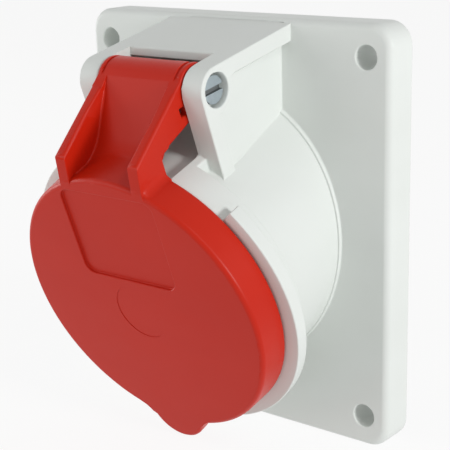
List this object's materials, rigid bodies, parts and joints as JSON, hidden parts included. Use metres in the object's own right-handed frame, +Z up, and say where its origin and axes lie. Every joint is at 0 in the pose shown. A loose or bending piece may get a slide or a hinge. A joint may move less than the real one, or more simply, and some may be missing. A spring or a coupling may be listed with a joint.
{
  "type": "panel pin and sleeve socket",
  "caption": "Sloped panel socket for pin and sleeve plugs: square flange with corner holes, round angled body, hooded hinge ears and a sprung red lid with a finger nose.",
  "frame": {"origin": "middle of the flange's back face, on the panel, half way between the fixing holes", "axes": "+X right seen from the front, +Y back into the panel, +Z up"},
  "size_m": [0.09, 0.0815, 0.1],
  "materials": {
    "housing_plastic": "pale grey moulding, fine grain",
    "lid_plastic": "red moulding, satin",
    "carrier_plastic": "dark grey moulding",
    "seal_rubber": "matt black rubber",
    "plated_steel": "zinc plated",
    "spring_steel": "drawn wire",
    "contact_brass": "turned brass"
  },
  "bodies": {
    "housing_body": {"housing": "housing_plastic", "hinge_pin": "plated_steel", "lid_spring": "spring_steel", "flange_gasket": "seal_rubber", "contact_carrier": "carrier_plastic", "contact_retainer": "carrier_plastic", "retainer_screw": "plated_steel", "terminal_screws": "plated_steel", "contact_earth": "contact_brass", "contact_l1": "contact_brass", "contact_l2": "contact_brass", "contact_l3": "contact_brass", "contact_neutral": "contact_brass", "spring_ring_earth": "spring_steel", "spring_ring_l1": "spring_steel", "spring_ring_l2": "spring_steel", "spring_ring_l3": "spring_steel", "spring_ring_neutral": "spring_steel"},
    "lid_body": {"lid": "lid_plastic", "lid_seal": "seal_rubber"}
  },
  "joints": [
    {"name": "lid_hinge", "type": "hinge", "parent": "housing_body", "child": "lid_body", "pos_m": [0, -0.03586, 0.03743], "axis": [-1, 0, 0], "range_deg": [0, 120], "stiffness_Nm_per_rad": 0.02, "springref_deg": -45.84, "deforming": ["lid_spring"]}
  ]
}
